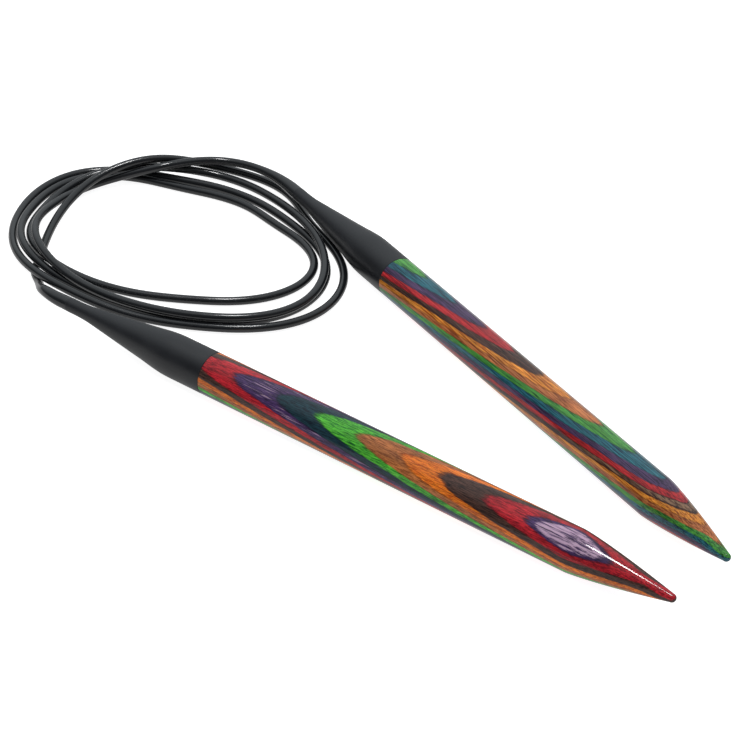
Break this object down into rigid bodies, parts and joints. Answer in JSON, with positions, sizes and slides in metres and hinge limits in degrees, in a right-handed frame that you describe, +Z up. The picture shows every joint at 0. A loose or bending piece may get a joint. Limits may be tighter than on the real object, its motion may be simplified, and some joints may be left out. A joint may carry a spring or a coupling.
{
  "type": "circular knitting needle",
  "caption": "Fixed circular knitting needle: tapered dyed laminated-wood rods in black plastic joins, tied by a flexible cable that lies in loose turns.",
  "frame": {"origin": "middle of the box around the two tips (rods and joins), on the surface they lie on", "axes": "+X along the mean direction of the two points, +Y across the tips, +Z up"},
  "size_m": [0.1931, 0.0681, 0.009],
  "materials": {
    "front_wood": "dyed laminated veneer, clear gloss lacquer",
    "back_wood": "dyed laminated veneer, clear gloss lacquer",
    "join_plastic": "satin black moulded plastic",
    "cable": "semi-gloss black, flexible",
    "crimp": "plain crimped sleeve, hidden in the join"
  },
  "bodies": {
    "cable": {"cable": "cable"},
    "front_cable_end": {"front_cable_anchor": "crimp"},
    "front_tip": {"front_ferrule": "join_plastic", "front_needle": "front_wood"},
    "back_cable_end": {"back_cable_anchor": "crimp"},
    "back_tip": {"back_ferrule": "join_plastic", "back_needle": "back_wood"}
  },
  "joints": [
    {"name": "front_tip_swing", "type": "hinge", "parent": "cable", "child": "front_cable_end", "pos_m": [-0.07257, -0.03181, 0.0045], "axis": [0, 0, -1], "range_deg": [0, 60]},
    {"name": "front_tip_roll", "type": "hinge", "parent": "front_cable_end", "child": "front_tip", "pos_m": [-0.07257, -0.03181, 0.0045], "axis": [0.9876, 0.1573, 0], "range_deg": [-180, 180]},
    {"name": "back_tip_swing", "type": "hinge", "parent": "cable", "child": "back_cable_end", "pos_m": [-0.07447, 0.03181, 0.0045], "axis": [0, 0, 1], "range_deg": [0, 60]},
    {"name": "back_tip_roll", "type": "hinge", "parent": "back_cable_end", "child": "back_tip", "pos_m": [-0.07447, 0.03181, 0.0045], "axis": [0.9876, -0.1573, 0], "range_deg": [-180, 180]}
  ]
}
